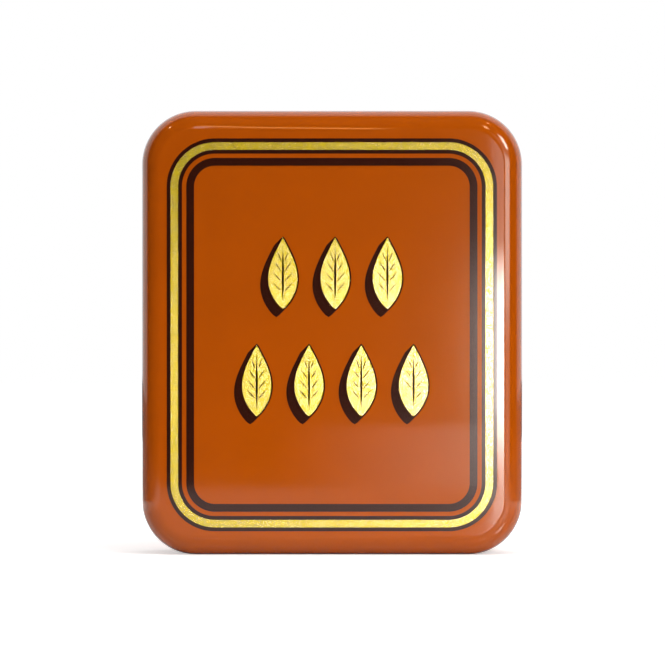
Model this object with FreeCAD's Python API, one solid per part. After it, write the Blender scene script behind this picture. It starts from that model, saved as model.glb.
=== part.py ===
"""Pocket tea tin: a flat tinplate box with rounded corners and a slip lid, for tea bags.

The lid is one pressing: a flat face, a generous round, and a skirt whose edge is rolled inward
into a curled hem. It slips over the wall of the base, which is closed at the back by an end
seamed on all round. The wall is drawn in from the tin's outline by the depth of the hem, and
the seam stands out again to the outline, so the shut tin stands square on the lid's skirt and
on its seam. The tin is shut, so the base is modelled as a filled block inside its wall.

Sizes are in millimetres. The tin stands on a short end with its lid to the front: X is across
the lid, Y runs from the lid's face to the back of the base, and Z is up. The origin is on the
ground, under the middle of the tin.
"""

import FreeCAD
import Part
import math
import os

# ---- the whole tin ---------------------------------------------------------------------

WIDTH = 84.0
HEIGHT = 98.0
DEPTH = 27.0  # front to back
CORNER_RADIUS = 11.9  # of the outline, seen from the front
SHEET = 0.3  # tinplate with its print and lacquer

# ---- the lid ---------------------------------------------------------------------------

SKIRT = 11.5  # from the lid's face to the back of its hem
FACE_ROUND = 4.4  # pressed between the face and the skirt
HEM_RADIUS = 0.7  # of the curl, outside

# ---- the base --------------------------------------------------------------------------

SLIP_GAP = 0.2  # air between the hem and the wall of the base
MOUTH_ROUND = 1.0  # of the wall's turned-in edge at the mouth
MOUTH_GAP = 0.2  # air between that edge and the inside of the lid's round
SEAM_LENGTH = 3.0  # of the rolled end seam, front to back
SEAM_ROUND = 0.85
COUNTERSINK = 3.4  # from the back of the seam to the floor of the end
COUNTERSINK_ROUND = 0.8
MOAT = 3.2  # width of the low border inside the seam
PANEL_RISE = 1.0  # of the end's middle above that border
PANEL_ROUND = 0.6

# ---- places that follow from them ------------------------------------------------------

FACE_Y = -DEPTH / 2
BACK_Y = DEPTH / 2
HEM_Y = FACE_Y + SKIRT - HEM_RADIUS  # the curl turns about this line
FLOOR_Y = BACK_Y - COUNTERSINK
WALL_INSET = 2 * HEM_RADIUS + SLIP_GAP  # from the outline to the wall of the base
CHUCK_INSET = WALL_INSET + 2 * SHEET  # the end lines the wall, one sheet inside the other
PANEL_INSET = CHUCK_INSET + MOAT
HEM_TURN = 270.0  # degrees that the sheet is rolled through


def mouth_depth():
    """Depth at which the turned-in mouth of the base seats inside the lid's pressed round.

    Both are arcs in section, so the mouth stops where the distance between their centres is
    the lid's inner radius less the gap and the mouth's own radius.
    """
    reach = FACE_ROUND - SHEET - MOUTH_GAP - MOUTH_ROUND
    aside = max(0, FACE_ROUND - WALL_INSET - MOUTH_ROUND)
    return FACE_Y + FACE_ROUND - MOUTH_ROUND - math.sqrt(reach ** 2 - aside ** 2)


def arc(point, angles):
    """Arc through the three points that a function gives for three angles."""
    start, middle, end = [point(angle) for angle in angles]
    return Part.Arc(start, middle, end).toShape()


def outline(inset, y):
    """Closed wire of the tin's outline at depth y, drawn in by inset: four arcs, four lines."""
    radius = CORNER_RADIUS - inset
    across = WIDTH / 2 - CORNER_RADIUS
    top = HEIGHT - CORNER_RADIUS
    arcs = []
    for turn, x, z in ((0, across, top), (90, -across, top),
                       (180, -across, CORNER_RADIUS), (270, across, CORNER_RADIUS)):
        def on_corner(angle, x=x, z=z):
            a = math.radians(angle)
            return FreeCAD.Vector(x + radius * math.cos(a), y, z + radius * math.sin(a))
        arcs.append(arc(on_corner, (turn, turn + 45, turn + 90)))
    edges = []
    for here, following in zip(arcs, arcs[1:] + arcs[:1]):
        leaves = here.lastVertex().Point
        arrives = following.firstVertex().Point
        edges += [here, Part.LineSegment(leaves, arrives).toShape()]
    return Part.Wire(edges)


def slab(inset, front, back):
    """Block between two depths whose side wall is the outline drawn in by inset."""
    return Part.Face(outline(inset, front)).extrude(FreeCAD.Vector(0, back - front, 0))


def edges_at(shape, y, inset):
    """The edges of a shape that follow the outline drawn in by inset, at depth y."""
    near = 1e-4
    box = outline(inset, y).BoundBox
    found = []
    for edge in shape.Edges:
        size = edge.BoundBox
        level = abs(size.YMin - y) < near and abs(size.YMax - y) < near
        touches = (abs(size.XMin - box.XMin) < near or abs(size.XMax - box.XMax) < near
                   or abs(size.ZMin - box.ZMin) < near or abs(size.ZMax - box.ZMax) < near)
        if level and touches:
            found.append(edge)
    return found


def pan(inset, front, back, radius):
    """Slab with a rounded front edge, as a press leaves it."""
    block = slab(inset, front, back)
    return block.makeFillet(radius, edges_at(block, front, inset))


def hem():
    """The curl at the edge of the skirt: a strip one sheet thick, rolled inward, carried round."""
    def turned(radius):
        def at(angle):
            a = math.radians(angle)
            inset = HEM_RADIUS - radius * math.cos(a)
            return FreeCAD.Vector(WIDTH / 2 - inset, HEM_Y + radius * math.sin(a),
                                  HEIGHT - CORNER_RADIUS)
        return at

    angles = (0, HEM_TURN / 2, HEM_TURN)
    outside = turned(HEM_RADIUS)
    inside = turned(HEM_RADIUS - SHEET)
    section = Part.Wire([
        arc(outside, angles),
        Part.LineSegment(outside(HEM_TURN), inside(HEM_TURN)).toShape(),
        arc(inside, angles[::-1]),
        Part.LineSegment(inside(0), outside(0)).toShape(),
    ])
    return outline(0, HEM_Y).makePipeShell([section], True, False)


def lid():
    """Face, round and skirt as one shell of even thickness, with the hem at its edge."""
    outside = pan(0, FACE_Y, HEM_Y, FACE_ROUND)
    inside = pan(SHEET, FACE_Y + SHEET, HEM_Y, FACE_ROUND - SHEET)
    return outside.cut(inside).fuse(hem()).removeSplitter()


def base():
    """Wall with its turned-in mouth, and the end seamed on at the back."""
    wall = pan(WALL_INSET, mouth_depth(), BACK_Y, MOUTH_ROUND)
    seam = slab(0, BACK_Y - SEAM_LENGTH, BACK_Y)
    body = wall.fuse(seam).removeSplitter()
    body = body.cut(slab(CHUCK_INSET, FLOOR_Y, BACK_Y))
    rims = edges_at(body, BACK_Y - SEAM_LENGTH, 0)
    rims += edges_at(body, BACK_Y, 0)
    rims += edges_at(body, BACK_Y, CHUCK_INSET)
    body = body.makeFillet(SEAM_ROUND, rims)
    body = body.makeFillet(COUNTERSINK_ROUND, edges_at(body, FLOOR_Y, CHUCK_INSET))
    raised = FLOOR_Y + PANEL_RISE
    panel = slab(PANEL_INSET, FLOOR_Y, raised)
    panel = panel.makeFillet(PANEL_ROUND, edges_at(panel, raised, PANEL_INSET))
    return body.fuse(panel).removeSplitter()


def main():
    os.makedirs("parts", exist_ok=True)
    for name, shape in (("lid", lid()), ("base", base())):
        solid = shape.Solids[0]
        print(name, "solids", len(shape.Solids), "valid", shape.isValid(),
              "volume", round(solid.Volume, 1), "faces", len(solid.Faces))
        solid.exportStep(f"parts/{name}.step")


main()
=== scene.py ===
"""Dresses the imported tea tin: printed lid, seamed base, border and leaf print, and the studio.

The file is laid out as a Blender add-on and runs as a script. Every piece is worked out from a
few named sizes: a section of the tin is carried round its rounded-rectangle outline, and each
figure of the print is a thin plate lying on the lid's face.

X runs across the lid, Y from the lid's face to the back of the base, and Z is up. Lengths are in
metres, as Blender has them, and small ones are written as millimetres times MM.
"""

import math
from collections import namedtuple

import bpy
import numpy as np
from bpy.props import FloatProperty, FloatVectorProperty, IntProperty, PointerProperty
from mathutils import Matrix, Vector


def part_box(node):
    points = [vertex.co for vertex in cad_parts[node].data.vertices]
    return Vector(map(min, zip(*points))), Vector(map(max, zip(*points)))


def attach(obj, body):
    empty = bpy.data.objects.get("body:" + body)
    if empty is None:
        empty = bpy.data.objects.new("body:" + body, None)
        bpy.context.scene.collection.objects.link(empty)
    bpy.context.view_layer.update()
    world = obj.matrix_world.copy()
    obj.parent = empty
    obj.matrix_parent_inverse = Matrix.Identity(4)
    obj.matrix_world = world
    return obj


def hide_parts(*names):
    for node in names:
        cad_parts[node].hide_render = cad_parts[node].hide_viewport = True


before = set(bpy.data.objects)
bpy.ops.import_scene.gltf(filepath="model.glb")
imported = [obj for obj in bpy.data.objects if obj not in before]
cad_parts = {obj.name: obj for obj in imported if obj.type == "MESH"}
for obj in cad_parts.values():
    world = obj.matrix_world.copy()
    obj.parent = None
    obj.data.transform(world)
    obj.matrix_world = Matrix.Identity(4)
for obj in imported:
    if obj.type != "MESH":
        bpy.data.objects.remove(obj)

bl_info = {
    "name": "Tea Tin",
    "version": (1, 0, 0),
    "blender": (4, 5, 0),
    "location": "View3D > Sidebar > Tea Tin",
    "description": "Builds a printed tinplate tea tin with a slip lid and a seamed base",
    "category": "Object",
}

MM = 0.001
WHITE = (1.0, 1.0, 1.0)

LID_LOW, LID_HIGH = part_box("lid")
BASE_LOW, BASE_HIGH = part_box("base")
LID_HALF = (LID_HIGH - LID_LOW) / 2
LID_MIDDLE = (LID_HIGH + LID_LOW) / 2
FACE = LID_LOW[1]


def linear(hex_colour):
    """Turns an sRGB colour written as #RRGGBB into the linear numbers that shaders work with."""
    values = [int(hex_colour[i:i + 2], 16) / 255 for i in (1, 3, 5)]
    return tuple(v / 12.92 if v <= 0.04045 else ((v + 0.055) / 1.055) ** 2.4 for v in values)


def length(label, about, millimetres):
    """A length that the sidebar shows in the scene's own unit."""
    return FloatProperty(name=label, description=about, default=millimetres * MM,
                         min=0.0, unit="LENGTH", subtype="DISTANCE", precision=4)


def offset(label, about, millimetres):
    """A length that may be negative."""
    return FloatProperty(name=label, description=about, default=millimetres * MM,
                         unit="LENGTH", subtype="DISTANCE", precision=4)


def colour(label, about, hex_colour):
    """A colour, given as sRGB hex and kept as linear numbers."""
    return FloatVectorProperty(name=label, description=about, default=linear(hex_colour),
                               subtype="COLOR", size=3, min=0.0, max=1.0)


def strength(label, about, value):
    """A lamp's power in watts, a surface's brightness where 1 is white, or a share."""
    return FloatProperty(name=label, description=about, default=value, min=0.0)


# ---- what a user would change ----------------------------------------------------------


class TinSizes(bpy.types.PropertyGroup):
    """Sizes of the pressed and rolled metal."""

    corner: length("Corner radius", "Of the tin's outline seen from the front", 11.9)
    sheet: length("Sheet", "Thickness of the printed tinplate", 0.3)
    face_round: length("Face round", "Pressed between the lid's face and its skirt", 4.4)
    hem: length("Hem radius", "Outside radius of the curl at the edge of the skirt", 0.7)
    slip_gap: length("Slip gap", "Air between the hem and the wall of the base", 0.2)
    mouth_round: length("Mouth round", "Turned-in edge at the mouth of the base", 1.0)
    seam: length("Seam length", "The rolled end seam, front to back", 3.0)
    seam_round: length("Seam round", "Radius of the seam's rolled edges", 0.85)
    countersink: length("Countersink", "From the back of the seam to the end's floor", 3.4)
    floor_round: length("Floor round", "Between the countersink's wall and its floor", 0.8)
    moat: length("Moat", "Width of the low border inside the seam", 3.2)
    panel_rise: length("Panel rise", "Of the end's middle above that border", 1.0)
    panel_round: length("Panel round", "Round edge of the raised middle", 0.6)
    arc_steps: IntProperty(name="Arc steps", description="Flats in a quarter turn",
                           default=24, min=4, max=64)


class PrintSizes(bpy.types.PropertyGroup):
    """Sizes of the print on the lid's face."""

    ink: length("Ink", "Thickness of a printed layer, with its varnish", 0.02)
    shift_x: offset("Shift across", "How far the print lies to the right of the middle", -0.045)
    shift_z: offset("Shift up", "How far the print lies above the middle", -0.51)
    shorter: length("Shorter", "Extra room left above and below the border", 0.11)
    corner_middle: length("Corner middle", "From the outline to the middle of the arcs", 16.3)
    border: length("Border", "From the tin's outline to the border", 5.67)
    rule: length("Rule", "Width of the fine dark rules beside the gold", 0.86)
    gold: length("Gold", "Width of the gold band", 1.64)
    gap: length("Gap", "Bare lacquer between the gold and the dark band", 0.94)
    band: length("Band", "Width of the dark band", 1.72)
    leaf_height: length("Leaf height", "From the leaf's base to its tip", 15.6)
    leaf_width: length("Leaf width", "Across the leaf's widest part", 6.4)
    leaf_pitch: length("Leaf pitch", "From one leaf to the next in a row", 11.5)
    row_pitch: length("Row pitch", "From one row of leaves to the next", 23.6)
    rows_middle: offset("Rows middle", "Height of the rows' middle above the tin's middle", 1.2)
    outline: length("Leaf outline", "Dark rim round a leaf", 0.35)
    shadow: length("Block shadow", "How far a leaf's shadow is drawn down and to the left", 1.45)
    vein: length("Vein", "Width of the leaf's middle vein", 0.5)
    side_vein: length("Side vein", "Width of the veins that branch off it", 0.26)


class TinColours(bpy.types.PropertyGroup):
    """Colours of the lacquer, the inks and the bare metal under yellow varnish."""

    lacquer: colour("Lacquer", "Burnt orange over the whole tin", "#B04E02")
    ink: colour("Ink", "Dark brown of the rules, the band and the shadows", "#321006")
    gold: colour("Gold", "Tinplate seen through yellow varnish", "#D7BB0C")
    bare_tin: colour("Bare tin", "Crests of the rolled sheet, where the varnish is thin", "#E9DDBC")


class Studio(bpy.types.PropertyGroup):
    """The table, the windows, the lamps and the camera."""

    distance: length("Camera distance", "From the lid's face to the camera", 900.0)
    field: length("Field", "Width of the picture where the skirt begins", 147.0)
    aside: offset("Camera aside", "How far the camera stands to the right of the middle", 0.1)
    table_front: length("Table front", "How far the table reaches in front of the lid", 440.0)
    table_gloss: strength("Table gloss", "Share of the table's light that is mirrored", 0.24)
    table_lift: strength("Table lift", "White that the camera sees on the table by the tin", 0.5)
    table_shine: strength("Table shine", "White that the tin mirrors on either side", 0.65)
    ambient: strength("Ambient", "Brightness of the light that comes from all round", 0.1)
    narrow: strength("Narrow window", "Brightness of the window beside the camera", 23.0)
    lip: strength("Window lip", "Brightness of the strip below that window", 1.2)
    wide: strength("Wide window", "Brightness of the window on the right", 4.4)
    pane_corner: strength("Window corner", "Brightness of that window's upper corner", 14.0)
    key: strength("Key", "Power of the low lamp on the right", 2.7)
    top: strength("Top", "Power of the soft lamp above the table", 2.2)
    fill: strength("Back fill", "Power of each of the two soft lamps behind the tin", 5.0)
    warm: strength("Warm bar", "Brightness of the warm bar above the camera", 6.0)
    pale: strength("Pale bar", "Brightness of the pale bar beside the warm one", 3.0)
    sparks: strength("Small lamps", "Brightness of the small lamps high up round the room", 24.0)


GROUPS = {"sizes": TinSizes, "printing": PrintSizes, "colours": TinColours, "studio": Studio}


class TeaTin(bpy.types.PropertyGroup):
    """All the settings, kept on the scene."""

    sizes: PointerProperty(type=TinSizes)
    printing: PointerProperty(type=PrintSizes)
    colours: PointerProperty(type=TinColours)
    studio: PointerProperty(type=Studio)


# ---- surfaces --------------------------------------------------------------------------


def turn(start, end, steps):
    """Angles from start to end in degrees, as an array in radians."""
    return np.radians(np.linspace(start, end, steps + 1))


def roll(inset, depth, radius, start, end, steps):
    """Stretch of a section that turns about a point (inset, depth).

    At 0 degrees it is radius nearer the outline than that point, and at 90 degrees it is radius
    nearer the back.
    """
    angle = turn(start, end, steps)
    return np.stack([inset - radius * np.cos(angle), depth + radius * np.sin(angle),
                     np.ones_like(angle)], axis=1)


def flat(inset, depth, start, end, steps):
    """Stretch of a section that runs straight in towards the middle of the tin.

    The outline at that inset is shrunk towards its middle by a factor that goes from start to
    end, where 1 is its full size and 0 is one point.
    """
    shrink = np.linspace(start, end, steps + 1)
    return np.stack([np.full_like(shrink, inset), np.full_like(shrink, depth), shrink], axis=1)


def stations(half_width, half_height, corner, steps, side_steps):
    """Feet and outward directions of the places round a rounded rectangle.

    The rectangle through the middles of the corner arcs is the foot of each place, and the
    outline lies one corner radius out from it. Round an arc the foot stands still and the
    direction turns. Along a side the direction stands still and the foot moves.
    """
    across = half_width - corner
    up = half_height - corner
    feet = []
    outward = []
    middles = np.array([[across, up], [-across, up], [-across, -up], [across, -up]])
    for quarter, middle in enumerate(middles):
        angle = turn(90 * quarter, 90 * quarter + 90, steps)
        ahead = np.stack([np.cos(angle), np.sin(angle)], axis=1)
        feet.append(np.repeat(middle[None], steps + 1, axis=0))
        outward.append(ahead)
        along = (np.arange(1, side_steps) / side_steps)[:, None]
        feet.append(middle + along * (middles[(quarter + 1) % 4] - middle))
        outward.append(np.repeat(ahead[-1:], side_steps - 1, axis=0))
    return np.concatenate(feet), np.concatenate(outward)


def carried(section, feet, outward, corner, middle):
    """Surface made by carrying a section round an outline.

    A row of the section is (inset, depth, shrink). Its point at a station is the station's foot
    plus its direction times the corner radius less the inset, shrunk towards the middle. The
    result has one row of points for each row of the section.
    """
    inset = section[:, 0, None, None]
    shrink = section[:, 2, None, None]
    front_view = (feet[None] + outward[None] * (corner - inset)) * shrink
    points = np.empty(front_view.shape[:2] + (3,))
    points[..., 0] = front_view[..., 0] + middle[0]
    points[..., 1] = section[:, 1, None]
    points[..., 2] = front_view[..., 1] + middle[1]
    return points


def quads_between(rows, columns, closed):
    """Corner numbers of the faces between neighbouring rows, each row closed on itself."""
    last = rows if closed else rows - 1
    row = np.arange(last)[:, None]
    column = np.arange(columns)[None]
    ahead = (column + 1) % columns
    below = (row + 1) % rows
    return np.stack([row * columns + column, row * columns + ahead,
                     below * columns + ahead, below * columns + column], axis=-1).reshape(-1, 4)


def fan(rim, pole, backwards):
    """Corner numbers of the triangles that close a rim of points onto one point."""
    ahead = np.roll(rim, -1)
    poles = np.full_like(rim, pole)
    corners = [poles, rim, ahead] if backwards else [poles, ahead, rim]
    return np.stack(corners, axis=1)


def skin(points, closed=False):
    """Vertices and faces of a grid of points whose rows close on themselves.

    Where the grid isn't closed, its first and last rows are each one point, so the surface ends
    in two poles and has no hole.
    """
    rows, columns = points.shape[:2]
    if closed:
        return points.reshape(-1, 3), quads_between(rows, columns, True).tolist()
    rings = points[1:-1]
    count = (rows - 2) * columns
    vertices = np.concatenate([rings.reshape(-1, 3), points[0, :1], points[-1, :1]])
    faces = quads_between(rows - 2, columns, False).tolist()
    faces += fan(np.arange(columns), count, False).tolist()
    faces += fan(np.arange(count - columns, count), count + 1, True).tolist()
    return vertices, faces


def joined(skins):
    """Several skins as one, the faces numbered on from one to the next."""
    vertices = []
    faces = []
    count = 0
    for points, corners in skins:
        vertices.append(points)
        faces += [[count + corner for corner in face] for face in corners]
        count += len(points)
    return np.concatenate(vertices), faces


SHARP = math.radians(30)


def piece(name, vertices, faces, material, slot):
    """A mesh object at the origin, smooth except where faces meet at a sharp angle.

    Its UV map is the view from the front, with u along X and v along Z.
    """
    mesh = bpy.data.meshes.new(name)
    mesh.from_pydata(vertices.tolist(), [], faces)
    corners = np.empty(len(mesh.loops), dtype=np.int32)
    mesh.loops.foreach_get("vertex_index", corners)
    front_view = mesh.uv_layers.new(name="front_view")
    front_view.data.foreach_set("uv", vertices[corners][:, [0, 2]].ravel())
    mesh.shade_smooth()
    mesh.set_sharp_from_angle(angle=SHARP)
    mesh.materials.append(material)
    made = bpy.data.objects.new(name, mesh)
    bpy.context.scene.collection.objects.link(made)
    # Normals weighted by area keep the flats flat right up to where a round begins.
    weighted = made.modifiers.new("weighted", "WEIGHTED_NORMAL")
    weighted.mode = "FACE_AREA"
    weighted.keep_sharp = True
    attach(made, "root")
    return made


# ---- sections of the tin ---------------------------------------------------------------

# Rings of faces across a flat, from its edge to its middle.
FACE_RINGS = 12
END_RINGS = 6
HIDDEN_RINGS = 4


def lid_section(sizes):
    """Section of the lid: face, round, skirt and curl outside, then the same back inside."""
    steps = sizes.arc_steps
    hem_line = LID_HIGH[1] - sizes.hem
    bend = FACE + sizes.face_round
    inner_hem = sizes.hem - sizes.sheet
    inner_round = sizes.face_round - sizes.sheet
    return np.concatenate([
        flat(sizes.face_round, FACE, 0.0, 1.0, FACE_RINGS)[:-1],
        roll(sizes.face_round, bend, sizes.face_round, -90, 0, steps),
        roll(sizes.hem, hem_line, sizes.hem, 0, 270, steps),
        roll(sizes.hem, hem_line, inner_hem, 270, 0, steps),
        roll(sizes.face_round, bend, inner_round, 0, -90, steps),
        flat(sizes.face_round, FACE + sizes.sheet, 1.0, 0.0, HIDDEN_RINGS)[1:],
    ])


def base_section(sizes):
    """Section of the base: mouth, wall, seam, countersink and raised middle of the end."""
    steps = sizes.arc_steps // 2
    back = BASE_HIGH[1]
    mouth = BASE_LOW[1]
    wall = 2 * sizes.hem + sizes.slip_gap
    chuck = wall + 2 * sizes.sheet
    seam_front = back - sizes.seam
    floor = back - sizes.countersink
    panel = chuck + sizes.moat
    raised = floor + sizes.panel_rise
    mouth_round, seam_round = sizes.mouth_round, sizes.seam_round
    floor_round, panel_round = sizes.floor_round, sizes.panel_round
    return np.concatenate([
        flat(wall + mouth_round, mouth, 0.0, 1.0, HIDDEN_RINGS)[:-1],
        roll(wall + mouth_round, mouth + mouth_round, mouth_round, -90, 0, steps),
        [[wall, seam_front, 1.0]],
        roll(seam_round, seam_front + seam_round, seam_round, -90, 0, steps),
        roll(seam_round, back - seam_round, seam_round, 0, 90, steps),
        roll(chuck - seam_round, back - seam_round, seam_round, 90, 180, steps),
        roll(chuck + floor_round, floor + floor_round, floor_round, 0, -90, steps),
        [[panel, floor, 1.0]],
        roll(panel + panel_round, raised - panel_round, panel_round, 0, 90, steps),
        flat(panel + panel_round, raised, 1.0, 0.0, END_RINGS)[1:],
    ])


def outline_of_tin(sizes):
    """Stations round the tin's own outline, with its corner radius and its middle."""
    steps = sizes.arc_steps
    feet, outward = stations(LID_HALF[0], LID_HALF[2], sizes.corner, steps, steps)
    return feet, outward, sizes.corner, (LID_MIDDLE[0], LID_MIDDLE[2])


def outline_of_print(tin):
    """Stations round the print, whose corner arcs turn about points further in than the tin's."""
    printing = tin.printing
    reach = printing.corner_middle
    feet, outward = stations(LID_HALF[0], LID_HALF[2] - printing.shorter, reach,
                             tin.sizes.arc_steps, 2)
    place = (LID_MIDDLE[0] + printing.shift_x, LID_MIDDLE[2] + printing.shift_z)
    return feet, outward, reach, place


# ---- figures of the print --------------------------------------------------------------

LEAF_BELLY = 0.82
LEAF_ROWS = (3, 4)
MIDDLE_VEIN_SHARE = 0.8
# Where side veins start up the leaf, how far they rise, and how far out they start and end.
SIDE_VEIN_STARTS = (0.24, 0.38, 0.52, 0.66)
SIDE_VEIN_RISE = 1 / 7
SIDE_VEIN_ROOT = 0.6
SIDE_VEIN_REACH = 0.72


def ring(tin, outer, inner, height):
    """Band of ink between two insets: a flat ribbon whose edges go down into the sheet."""
    top = FACE - height
    sunk = FACE + tin.printing.ink
    section = np.array([[outer, sunk, 1.0], [outer, top, 1.0], [inner, top, 1.0],
                        [inner, sunk, 1.0]])
    return skin(carried(section, *outline_of_print(tin)), closed=True)


def leaf_half_width(share, width):
    """Half the width of a leaf at a share of its height.

    It is half the full width times the sine of pi times the share to the power LEAF_BELLY, which
    puts the widest part a little below the middle and brings both ends to a point.
    """
    return width / 2 * np.sin(np.pi * share ** LEAF_BELLY)


def leaf_outline(height, width, steps):
    """Outline of an upright leaf about its middle, as points (across, up)."""
    share = np.linspace(0.0, 1.0, steps + 1)
    half = leaf_half_width(share, width)
    up = (share - 0.5) * height
    right = np.stack([half, up], axis=1)
    left = np.stack([-half[-2:0:-1], up[-2:0:-1]], axis=1)
    return np.concatenate([right, left])


def side_veins(printing, steps):
    """Outlines of the veins that branch upwards off the middle one, four on each side.

    Each is a narrow leaf outline, turned and moved to run from SIDE_VEIN_ROOT of the middle
    vein's width out to SIDE_VEIN_REACH of the leaf's half width. That end lies SIDE_VEIN_RISE of
    the leaf's height above the start.
    """
    lens = leaf_outline(1.0, printing.side_vein, steps)
    veins = []
    for share in SIDE_VEIN_STARTS:
        end_share = share + SIDE_VEIN_RISE
        root = printing.vein * SIDE_VEIN_ROOT
        reach = leaf_half_width(end_share, printing.leaf_width) * SIDE_VEIN_REACH
        for side in (-1, 1):
            start = np.array([side * root, (share - 0.5) * printing.leaf_height])
            end = np.array([side * reach, (end_share - 0.5) * printing.leaf_height])
            along = end - start
            across = np.array([along[1], -along[0]]) / np.linalg.norm(along)
            veins.append((start + end) / 2 + lens[:, 1:] * along + lens[:, :1] * across)
    return veins


def outward_of(outline):
    """Unit normals of a closed outline that runs anticlockwise, from its neighbours' difference."""
    along = np.roll(outline, -1, axis=0) - np.roll(outline, 1, axis=0)
    normal = np.stack([along[:, 1], -along[:, 0]], axis=1)
    return normal / np.linalg.norm(normal, axis=1, keepdims=True)


def swept(outline, by):
    """Outline of all that a convex figure covers as it slides along a straight way.

    The points whose outward normal leans along the way go with it, and the rest stay.
    """
    goes = (outward_of(outline) @ np.asarray(by)) > 0
    return outline + goes[:, None] * np.asarray(by)[None]


def plate(outline, place, height, sunk):
    """Thin closed plate of a star-shaped outline, lying on the lid's face at a place."""
    middle = outline.mean(axis=0)
    rows = []
    for shrink, depth in ((0.0, sunk), (1.0, sunk), (1.0, -height), (0.0, -height)):
        spread = middle + (outline - middle) * shrink + place
        rows.append(np.stack([spread[:, 0], np.full(len(spread), FACE + depth), spread[:, 1]],
                             axis=1))
    return skin(np.stack(rows)[:, ::-1])


def leaf_places(printing):
    """Middles of the leaves: a row of three above a row of four, as a list of (x, z)."""
    aside = LID_MIDDLE[0] + printing.shift_x + printing.shadow / 2
    places = []
    for count, side in zip(LEAF_ROWS, (1, -1)):
        up = printing.rows_middle + side * printing.row_pitch / 2
        for index in range(count):
            across = (index - (count - 1) / 2) * printing.leaf_pitch
            places.append(np.array([aside + across, LID_MIDDLE[2] + up]))
    return places


# ---- materials -------------------------------------------------------------------------

# Sizes of the patterns. Three numbers are a size across, from front to back, and upwards.
CLOUD_WIDTH = 12 * MM
PEEL_WIDTH = 0.9 * MM
PEEL_HEIGHT = 0.0012 * MM
SPECK_WIDTH = 0.4 * MM
GRAIN = (0.06 * MM, 0.06 * MM, 0.18 * MM)
MOTTLE = (0.5 * MM, 0.5 * MM, 1.0 * MM)
# Tints of the haze that the lacquer and the ink spread round what their varnish mirrors.
LACQUER_GLINT = (1.0, 0.92, 0.65)
INK_GLINT = (1.0, 0.8, 0.7)
VARNISH_IOR = 1.5


def add(tree, kind, inputs=None, **settings):
    """Adds a node: settings are its own, and inputs give each socket a value or a link."""
    made = tree.nodes.new(kind)
    for name, value in settings.items():
        setattr(made, name, value)
    for socket, value in (inputs or {}).items():
        if isinstance(value, bpy.types.NodeSocket):
            tree.links.new(value, made.inputs[socket])
        else:
            made.inputs[socket].default_value = value
    return made


def new_material(name):
    """An empty material with its node tree and output."""
    material = bpy.data.materials.new(name)
    material.use_nodes = True
    material.node_tree.nodes.clear()
    return material, material.node_tree, add(material.node_tree, "ShaderNodeOutputMaterial")


def uneven(tree, flat_colour, pattern, low, high):
    """A colour that a pattern's noise makes darker and lighter, from low to high times itself."""
    noise = add(tree, "ShaderNodeTexNoise", pattern)
    tone = add(tree, "ShaderNodeMapRange", {"Value": noise.outputs["Fac"], "From Min": 0.3,
                                            "From Max": 0.7, "To Min": low, "To Max": high})
    return add(tree, "ShaderNodeHueSaturation", {
        "Value": tone.outputs["Result"], "Color": (*flat_colour, 1.0)}).outputs["Color"]


def lacquer_material(tin, name):
    """Stoving lacquer, roller coated over tinplate and varnished: a deep even orange.

    The varnish mirrors sharply. The lacquer under it spreads a faint warm haze round that.
    """
    material, tree, output = new_material(name)
    place = add(tree, "ShaderNodeTexCoord").outputs["Object"]
    # Roller coating leaves broad, hardly visible clouds.
    base = uneven(tree, tin.colours.lacquer,
                  {"Vector": place, "Scale": 1 / CLOUD_WIDTH, "Detail": 2.0}, 0.97, 1.03)
    # Orange peel: the varnish flows out into swells nearly a millimetre from crest to crest.
    peel = add(tree, "ShaderNodeTexNoise", {"Vector": place, "Scale": 1 / PEEL_WIDTH,
                                            "Detail": 2.0})
    bump = add(tree, "ShaderNodeBump", {"Height": peel.outputs["Fac"], "Strength": 1.0,
                                        "Distance": PEEL_HEIGHT})
    shader = add(tree, "ShaderNodeBsdfPrincipled", {
        "Base Color": base, "Roughness": 0.09, "IOR": VARNISH_IOR, "Specular IOR Level": 0.28,
        "Specular Tint": (*LACQUER_GLINT, 1.0), "Coat Weight": 1.0, "Coat Roughness": 0.03,
        "Normal": bump.outputs["Normal"], "Coat Normal": bump.outputs["Normal"]})
    tree.links.new(shader.outputs["BSDF"], output.inputs["Surface"])
    return material


def ink_material(tin, name):
    """Offset ink under varnish: nearly black brown, with the same gloss as the lacquer."""
    material, tree, output = new_material(name)
    place = add(tree, "ShaderNodeTexCoord").outputs["Object"]
    # The sheet's grain shows through the thin ink as faint specks. They are really finer, and
    # are drawn as coarse as they need to be to show.
    base = uneven(tree, tin.colours.ink, {"Vector": place, "Scale": 1 / SPECK_WIDTH}, 0.85, 1.15)
    shader = add(tree, "ShaderNodeBsdfPrincipled", {
        "Base Color": base, "Roughness": 0.09, "IOR": VARNISH_IOR, "Specular IOR Level": 0.45,
        "Specular Tint": (*INK_GLINT, 1.0), "Coat Weight": 1.0, "Coat Roughness": 0.03})
    tree.links.new(shader.outputs["BSDF"], output.inputs["Surface"])
    return material


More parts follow.
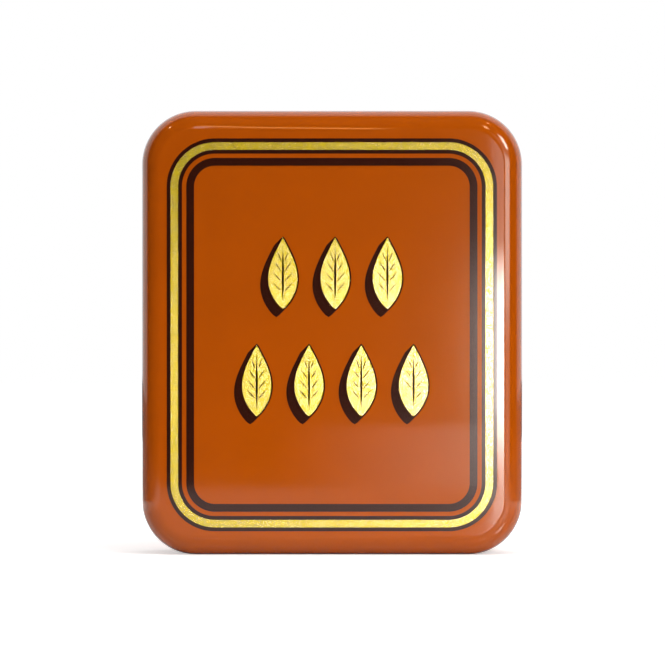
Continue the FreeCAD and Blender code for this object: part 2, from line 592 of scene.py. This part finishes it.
def gold_material(tin, name):
    """Tinplate under yellow varnish: deep gold, with a pale flash off the rolled sheet's grain."""
    material, tree, output = new_material(name)
    place = add(tree, "ShaderNodeTexCoord").outputs["Object"]
    # Rolling draws the grain out upwards. It is so fine that from afar it is an even blend.
    fine = add(tree, "ShaderNodeMapping", {"Vector": place,
                                           "Scale": tuple(1 / size for size in GRAIN)})
    grain = add(tree, "ShaderNodeTexNoise", {"Vector": fine.outputs["Vector"], "Scale": 1.0,
                                             "Detail": 1.0})
    # The varnish is thin on the crests, a quarter of the sheet, and they shine nearly white.
    crest = add(tree, "ShaderNodeMapRange", {"Value": grain.outputs["Fac"], "From Min": 0.55,
                                             "From Max": 0.60, "To Min": 0.0, "To Max": 1.0})
    # Its thickness wanders too, which mottles the gold in patches of half a millimetre or more.
    coarse = add(tree, "ShaderNodeMapping", {"Vector": place,
                                             "Scale": tuple(1 / size for size in MOTTLE)})
    varnish = uneven(tree, tin.colours.gold,
                     {"Vector": coarse.outputs["Vector"], "Scale": 1.0, "Detail": 1.0}, 0.86, 1.1)
    base = add(tree, "ShaderNodeMix", {0: crest.outputs["Result"], 6: varnish,
                                       7: (*tin.colours.bare_tin, 1.0)}, data_type="RGBA")
    matt = add(tree, "ShaderNodeMapRange", {"Value": crest.outputs["Result"], "From Min": 0.0,
                                            "From Max": 1.0, "To Min": 0.31, "To Max": 0.15})
    # The rolling lines run upwards, so they scatter light more to the sides than up and down.
    sideways = add(tree, "ShaderNodeTangent", direction_type="UV_MAP", uv_map="front_view")
    shader = add(tree, "ShaderNodeBsdfPrincipled", {
        "Base Color": base.outputs[2], "Metallic": 1.0,
        "Roughness": matt.outputs["Result"], "Anisotropic": 0.8,
        "Tangent": sideways.outputs["Tangent"], "Coat Weight": 1.0, "Coat Roughness": 0.03})
    tree.links.new(shader.outputs["BSDF"], output.inputs["Surface"])
    return material


FINISHES = {"lacquer": ("orange_stoving_lacquer", lacquer_material),
            "ink": ("dark_offset_ink", ink_material),
            "gold": ("yellow_varnished_tinplate", gold_material)}


def finish_of(tin, finish):
    """The material of a finish, made when it is first asked for."""
    name, maker = FINISHES[finish]
    return bpy.data.materials.get(name) or maker(tin, name)


# ---- operators of the tin --------------------------------------------------------------


class MakeLid(bpy.types.Operator):
    """Press the slip lid, with its round, its skirt and its curled hem"""

    bl_idname = "tea_tin.lid"
    bl_label = "Lid"

    def execute(self, context):
        tin = context.scene.tea_tin
        points = carried(lid_section(tin.sizes), *outline_of_tin(tin.sizes))
        made = piece("tin_lid", *skin(points), finish_of(tin, "lacquer"), "printed_tinplate")
        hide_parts("lid")
        return {"FINISHED"}


class MakeBase(bpy.types.Operator):
    """Draw the wall of the base and seam its end on"""

    bl_idname = "tea_tin.base"
    bl_label = "Base"

    def execute(self, context):
        tin = context.scene.tea_tin
        points = carried(base_section(tin.sizes), *outline_of_tin(tin.sizes))
        made = piece("tin_base", *skin(points), finish_of(tin, "lacquer"), "lacquered_tinplate")
        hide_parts("base")
        return {"FINISHED"}


class PrintBorder(bpy.types.Operator):
    """Print the border: gold between two fine rules, and a dark band inside them"""

    bl_idname = "tea_tin.border"
    bl_label = "Border"

    def execute(self, context):
        tin = context.scene.tea_tin
        printing = tin.printing
        ink = printing.ink
        gold_starts = printing.border + printing.rule
        gold_ends = gold_starts + printing.gold
        rules_end = gold_ends + printing.rule
        band_starts = rules_end + printing.gap
        band_ends = band_starts + printing.band
        # The rules are one dark ring, and the gold is a layer printed over its middle.
        layers = (("border_rules", printing.border, rules_end, ink, "ink", "dark_print"),
                  ("border_gold", gold_starts, gold_ends, 2 * ink, "gold", "gold_print"),
                  ("border_band", band_starts, band_ends, ink, "ink", "dark_print"))
        for name, outer, inner, height, finish, slot in layers:
            piece(name, *ring(tin, outer, inner, height), finish_of(tin, finish), slot)
        return {"FINISHED"}


class PrintLeaves(bpy.types.Operator):
    """Print two rows of gold leaves with dark veins and block shadows"""

    bl_idname = "tea_tin.leaves"
    bl_label = "Leaves"

    def execute(self, context):
        tin = context.scene.tea_tin
        printing = tin.printing
        ink = printing.ink
        arc_steps = tin.sizes.arc_steps
        leaf = leaf_outline(printing.leaf_height, printing.leaf_width, 2 * arc_steps)
        rim = leaf + outward_of(leaf) * printing.outline
        shaded = swept(rim, (-printing.shadow, -printing.shadow))
        vein = leaf_outline(printing.leaf_height * MIDDLE_VEIN_SHARE, printing.vein,
                            2 * arc_steps)
        veins = [vein, *side_veins(printing, arc_steps // 4)]
        # Each layer is printed over the one before it.
        layers = (("leaf_shadows", [shaded], ink, "ink", "dark_print"),
                  ("leaves", [leaf], 2 * ink, "gold", "gold_print"),
                  ("leaf_veins", veins, 3 * ink, "ink", "dark_print"))
        for name, outlines, height, finish, slot in layers:
            plates = [plate(outline, place, height, ink)
                      for place in leaf_places(printing) for outline in outlines]
            piece(name, *joined(plates), finish_of(tin, finish), slot)
        return {"FINISHED"}


# ---- the stage -------------------------------------------------------------------------

TABLE_SIDE = 2.0
TABLE_BACK = 3.0
EDGE_FADE = 90 * MM
# Distances from the tin's middle over which the table's painted shade, lift and shine change.
PAINTED_SHADE_GROWS = (70 * MM, 200 * MM)
LIFT_GROWS = (60 * MM, 160 * MM)
SHINE_GROWS = (60 * MM, 130 * MM)
SHINE_FADES = (200 * MM, 290 * MM)
# The paint's grey by the tin, and the darker grey of painted shade on either side.
PAINT_BY_TIN = 0.75
SHADED_PAINT_ASIDE = 0.25
DARK_ROOM = 0.02

# What the varnish mirrors stands in two upright planes before the lid, or round the tin.
WINDOW_PLANE = FACE - 0.9
BAR_PLANE = FACE - 1.0
NARROW_PANE = ((72.4, 150), (72.6, 16), (76.4, -16), (78, -60), (178, -60), (178, 150))
WIDE_BEARING = 31.5
CORNER_BEARING = 44
KEY_BEARING = 23
KEY_DISTANCE = 0.45
KEY_SPREAD = 0.15
WARM_COURSE = ((-66, 580), (-38, 379), (-15, 323), (24, 245))
WARM_HALF_HEIGHT = 50 * MM
WARM_TINT = (1.0, 0.5, 0.15)
PALE_TINT = (1.0, 0.85, 0.9)
SMALL_LAMPS = ((51, 1.62), (22, 0.8), (-54, 1.2))
SMALL_LAMP_WIDTH = 90 * MM
SMALL_LAMP_HALF = 60 * MM
SMALL_LAMP_TINT = (1.0, 0.65, 0.4)
SENSOR_WIDTH = 36.0

Fade = namedtuple("Fade", "axis start end before after")


def around(away, bearing, height=0.0):
    """A place at a distance from the lid's face, at a bearing to the right of the camera."""
    turned = math.radians(bearing)
    return (LID_MIDDLE[0] + away * math.sin(turned), FACE - away * math.cos(turned), height)


def aimed(name, kind, place, target):
    """A lamp or camera object at a place, looking at a target."""
    made = bpy.data.objects.new(name, kind)
    bpy.context.scene.collection.objects.link(made)
    made.location = place
    made.rotation_euler = (Vector(target) - Vector(place)).to_track_quat("-Z", "Y").to_euler()
    return made


def lamp(name, kind, energy, place, target, **settings):
    """A lamp that lights the tin and isn't mirrored in it."""
    light = bpy.data.lights.new(name, kind)
    light.energy = energy
    for setting, value in settings.items():
        setattr(light, setting, value)
    aimed(name, light, place, target).visible_glossy = False


def sheet(name, corners, material):
    """A flat surface of the stage, its corners given in metres, round its edge."""
    mesh = bpy.data.meshes.new(name)
    mesh.from_pydata([tuple(corner) for corner in corners], [], [range(len(corners))])
    mesh.materials.append(material)
    made = bpy.data.objects.new(name, mesh)
    bpy.context.scene.collection.objects.link(made)
    return made


def card(name, outline, depth, material):
    """A glowing sheet in an upright plane before the lid, from points (x, z)."""
    made = sheet(name, [(x, depth, z) for x, z in outline], material)
    made.visible_camera = False
    return made


def upright(name, middle, bearing, width, low, high, material):
    """A glowing upright sheet that faces the tin from a bearing, and the camera doesn't see."""
    turned = math.radians(bearing)
    side = np.array([math.cos(turned), math.sin(turned), 0.0]) * width / 2
    left = np.asarray(middle) - side
    right = np.asarray(middle) + side
    corners = np.array([left, right, right, left])
    corners[:, 2] = (low, low, high, high)
    made = sheet(name, corners, material)
    made.visible_camera = False
    return made


def glow_material(name, brightness, fades=(), tint=WHITE):
    """A softbox cloth of one brightness, which fades may change along an axis.

    A fade goes smoothly from one factor to another between two places on its axis, and the
    factors and the brightness are multiplied together.
    """
    material, tree, output = new_material(name)
    level = brightness
    for fade in fades:
        place = add(tree, "ShaderNodeTexCoord").outputs["Object"]
        along = add(tree, "ShaderNodeSeparateXYZ", {"Vector": place}).outputs[fade.axis]
        factor = add(tree, "ShaderNodeMapRange", {
            "Value": along, "From Min": fade.start, "From Max": fade.end,
            "To Min": fade.before, "To Max": fade.after}, interpolation_type="SMOOTHSTEP")
        level = add(tree, "ShaderNodeMath", {0: level, 1: factor.outputs["Result"]},
                    operation="MULTIPLY").outputs[0]
    glow = add(tree, "ShaderNodeEmission", {"Strength": level, "Color": (*tint, 1.0)})
    tree.links.new(glow.outputs["Emission"], output.inputs["Surface"])
    return material


def table_material(studio, near):
    """White paint with a dull gloss, which the camera sees lit up to white.

    The tin's shadow stays on it, because it is lifted less by the tin than further away.
    """
    material, tree, output = new_material("white_table")
    place = add(tree, "ShaderNodeTexCoord").outputs["Object"]
    along = add(tree, "ShaderNodeSeparateXYZ", {"Vector": place})
    away = add(tree, "ShaderNodeVectorMath", {0: place}, operation="LENGTH")
    beside = add(tree, "ShaderNodeMath", {0: along.outputs["X"]}, operation="ABSOLUTE")
    rays = add(tree, "ShaderNodeLightPath")
    # The paint is greyer on either side. This is painted shade, which dims what the lid's lower
    # corners mirror.
    painted_shade = add(tree, "ShaderNodeMapRange", {
        "Value": beside.outputs[0], "From Min": PAINTED_SHADE_GROWS[0], "From Max": PAINTED_SHADE_GROWS[1],
        "To Min": PAINT_BY_TIN, "To Max": SHADED_PAINT_ASIDE}, interpolation_type="SMOOTHSTEP")
    paint = add(tree, "ShaderNodeBsdfDiffuse", {"Color": painted_shade.outputs["Result"]})
    gloss = add(tree, "ShaderNodeBsdfGlossy", {"Color": (0.9, 0.9, 0.9, 1.0), "Roughness": 0.1})
    share = add(tree, "ShaderNodeMapRange", {
        "Value": rays.outputs["Is Camera Ray"], "To Min": studio.table_gloss, "To Max": 0.0})
    top = add(tree, "ShaderNodeMixShader", {0: share.outputs["Result"], 1: paint.outputs[0],
                                            2: gloss.outputs[0]})
    # Away from the tin the lift grows to full white, so the table runs into the backdrop.
    lifted = add(tree, "ShaderNodeMapRange", {
        "Value": away.outputs["Value"], "From Min": LIFT_GROWS[0], "From Max": LIFT_GROWS[1],
        "To Min": studio.table_lift, "To Max": 1.0}, interpolation_type="SMOOTHSTEP")
    lift = add(tree, "ShaderNodeMath", {0: rays.outputs["Is Camera Ray"],
                                        1: lifted.outputs["Result"]}, operation="MULTIPLY")
    # Metal and varnish mirror that white too, in a strip on either side of the tin.
    grows = add(tree, "ShaderNodeMapRange", {
        "Value": beside.outputs[0], "From Min": SHINE_GROWS[0], "From Max": SHINE_GROWS[1],
        "To Min": 0.0, "To Max": studio.table_shine}, interpolation_type="SMOOTHSTEP")
    fades = add(tree, "ShaderNodeMapRange", {
        "Value": beside.outputs[0], "From Min": SHINE_FADES[0], "From Max": SHINE_FADES[1],
        "To Min": 1.0, "To Max": 0.0}, interpolation_type="SMOOTHSTEP")
    shine = add(tree, "ShaderNodeMath", {0: grows.outputs["Result"],
                                         1: fades.outputs["Result"]}, operation="MULTIPLY")
    mirrored = add(tree, "ShaderNodeMath", {0: rays.outputs["Is Glossy Ray"],
                                            1: shine.outputs[0]}, operation="MULTIPLY")
    level = add(tree, "ShaderNodeMath", {0: lift.outputs[0], 1: mirrored.outputs[0]})
    glow = add(tree, "ShaderNodeEmission", {"Strength": level.outputs[0]})
    both = add(tree, "ShaderNodeAddShader", {0: top.outputs[0], 1: glow.outputs[0]})
    # In the lid's reflection the front edge fades out softly.
    edge = add(tree, "ShaderNodeMapRange", {
        "Value": along.outputs["Y"], "From Min": near, "From Max": near + EDGE_FADE,
        "To Min": 0.0, "To Max": 1.0})
    clear = add(tree, "ShaderNodeBsdfTransparent")
    whole = add(tree, "ShaderNodeMixShader", {0: edge.outputs["Result"], 1: clear.outputs[0],
                                              2: both.outputs[0]})
    tree.links.new(whole.outputs[0], output.inputs["Surface"])
    return material


def lay_table(studio):
    """A table top that ends in front of the tin and runs far back behind it."""
    near = FACE - studio.table_front
    corners = [(-TABLE_SIDE, near, 0.0), (TABLE_SIDE, near, 0.0), (TABLE_SIDE, TABLE_BACK, 0.0),
               (-TABLE_SIDE, TABLE_BACK, 0.0)]
    sheet("table", corners, table_material(studio, near))


def light_room(studio):
    """White for the camera; in reflections white behind the tin and dark before it."""
    world = bpy.data.worlds.new("room")
    world.use_nodes = True
    tree = world.node_tree
    tree.nodes.clear()
    output = add(tree, "ShaderNodeOutputWorld")
    rays = add(tree, "ShaderNodeLightPath")
    way = add(tree, "ShaderNodeSeparateXYZ",
              {"Vector": add(tree, "ShaderNodeTexCoord").outputs["Generated"]})
    behind = add(tree, "ShaderNodeMapRange", {
        "Value": way.outputs["Y"], "From Min": -0.05, "From Max": 0.15, "To Min": DARK_ROOM,
        "To Max": 1.0})
    ambient = add(tree, "ShaderNodeMix", {0: rays.outputs["Is Glossy Ray"], 2: studio.ambient,
                                          3: behind.outputs["Result"]})
    seen = add(tree, "ShaderNodeMix", {0: rays.outputs["Is Camera Ray"], 2: ambient.outputs[0],
                                       3: 1.0})
    background = add(tree, "ShaderNodeBackground", {"Color": (*WHITE, 1.0),
                                                    "Strength": seen.outputs[0]})
    tree.links.new(background.outputs[0], output.inputs["Surface"])
    bpy.context.scene.world = world


def hang_windows(studio):
    """A narrow window beside the camera, and a wide one on the right that is bright high up."""
    narrow = glow_material("narrow_window", studio.narrow, (
        Fade("Z", 64 * MM, 90 * MM, 1.0, 0.08), Fade("Z", -18 * MM, 18 * MM, 0.33, 1.0)))
    card("narrow_window", np.array(NARROW_PANE) * MM, WINDOW_PLANE, narrow)
    lip = glow_material("window_lip", studio.lip, (Fade("X", -30 * MM, 72 * MM, 0.0, 1.0),))
    upright("window_lip", (17 * MM, WINDOW_PLANE, 0), 0.0, width=114 * MM, low=-60 * MM,
            high=8 * MM, material=lip)
    wide = glow_material("wide_window", studio.wide, (
        Fade("Z", 40 * MM, 75 * MM, 0.25, 1.0), Fade("Z", 130 * MM, 200 * MM, 1.0, 0.15)))
    upright("wide_window", around(0.6, WIDE_BEARING), WIDE_BEARING, width=266 * MM,
            low=-20 * MM, high=335 * MM, material=wide)
    corner = glow_material("window_corner", studio.pane_corner, (
        Fade("Z", 235 * MM, 268 * MM, 0.0, 1.0), Fade("Z", 390 * MM, 450 * MM, 1.0, 0.3)))
    upright("window_corner", around(0.59, CORNER_BEARING), CORNER_BEARING, width=130 * MM,
            low=235 * MM, high=450 * MM, material=corner)


def hang_lamps(studio):
    """A low key lamp on the right, a soft lamp above, and two soft lamps behind the tin."""
    lamp("low_key", "SPOT", studio.key, around(KEY_DISTANCE, KEY_BEARING, 0.05),
         (0.0, FACE, -0.06), spot_size=2 * math.atan(KEY_SPREAD / KEY_DISTANCE), spot_blend=1.0,
         shadow_soft_size=0.05)
    lamp("top", "AREA", studio.top, (0.1, FACE - 0.25, 0.55), (0.0, FACE - 0.1, 0.0), size=0.5)
    for side in (-1, 1):
        lamp("back_fill", "AREA", studio.fill, (side * 0.38, 0.8, 0.32), (0.0, 0.0, 0.05),
             size=0.6)


def hang_bars(studio):
    """The bars and small lamps that the lid's round mirrors as fine lines and sparks."""
    course = np.array(WARM_COURSE) * MM
    outline = np.concatenate([course - (0, WARM_HALF_HEIGHT),
                              course[::-1] + (0, WARM_HALF_HEIGHT)])
    card("warm_bar", outline, BAR_PLANE, glow_material("warm_bar", studio.warm, tint=WARM_TINT))
    upright("pale_bar", (-68 * MM, BAR_PLANE, 0), 0.0, width=18 * MM, low=290 * MM,
            high=500 * MM, material=glow_material("pale_bar", studio.pale, tint=PALE_TINT))
    spark = glow_material("small_lamp", studio.sparks, tint=SMALL_LAMP_TINT)
    for number, (bearing, height) in enumerate(SMALL_LAMPS):
        upright(f"small_lamp_{number}", around(1.0, bearing), bearing, SMALL_LAMP_WIDTH,
                height - SMALL_LAMP_HALF, height + SMALL_LAMP_HALF, spark)


def set_camera(scene, tin):
    """A long lens, level with the middle of the lid and square to it."""
    studio = tin.studio
    camera = bpy.data.cameras.new("camera")
    camera.sensor_width = SENSOR_WIDTH
    reach = studio.distance + tin.sizes.face_round
    camera.lens = camera.sensor_width * reach / studio.field
    camera.clip_start = 0.01
    camera.clip_end = 50.0
    across = LID_MIDDLE[0] + studio.aside
    place = (across, FACE - studio.distance, LID_MIDDLE[2])
    scene.camera = aimed("camera", camera, place, (across, FACE, LID_MIDDLE[2]))


class SetStage(bpy.types.Operator):
    """Lay the table, light the room, and set the windows, the lamps and the camera"""

    bl_idname = "tea_tin.stage"
    bl_label = "Stage"

    def execute(self, context):
        tin = context.scene.tea_tin
        for step in (lay_table, light_room, hang_windows, hang_lamps, hang_bars):
            step(tin.studio)
        set_camera(context.scene, tin)
        context.scene.view_settings.view_transform = "Standard"
        return {"FINISHED"}


class TeaTinPanel(bpy.types.Panel):
    """The sidebar's list of steps and settings"""

    bl_idname = "VIEW3D_PT_tea_tin"
    bl_label = "Tea Tin"
    bl_space_type = "VIEW_3D"
    bl_region_type = "UI"
    bl_category = "Tea Tin"

    def draw(self, context):
        tin = context.scene.tea_tin
        for operator in STEPS:
            self.layout.operator(operator.bl_idname)
        for name, group in GROUPS.items():
            box = self.layout.box()
            box.label(text=group.__name__)
            for setting in group.__annotations__:
                box.prop(getattr(tin, name), setting)


STEPS = (MakeLid, MakeBase, PrintBorder, PrintLeaves, SetStage)
CLASSES = (*GROUPS.values(), TeaTin, *STEPS, TeaTinPanel)


def register():
    for made in CLASSES:
        bpy.utils.register_class(made)
    bpy.types.Scene.tea_tin = PointerProperty(type=TeaTin)


def unregister():
    del bpy.types.Scene.tea_tin
    for made in reversed(CLASSES):
        bpy.utils.unregister_class(made)


def main():
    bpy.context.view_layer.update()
    register()
    bpy.ops.tea_tin.lid()
    bpy.ops.tea_tin.base()
    bpy.ops.tea_tin.border()
    bpy.ops.tea_tin.leaves()
    bpy.ops.tea_tin.stage()


if __name__ == "__main__":
    main()
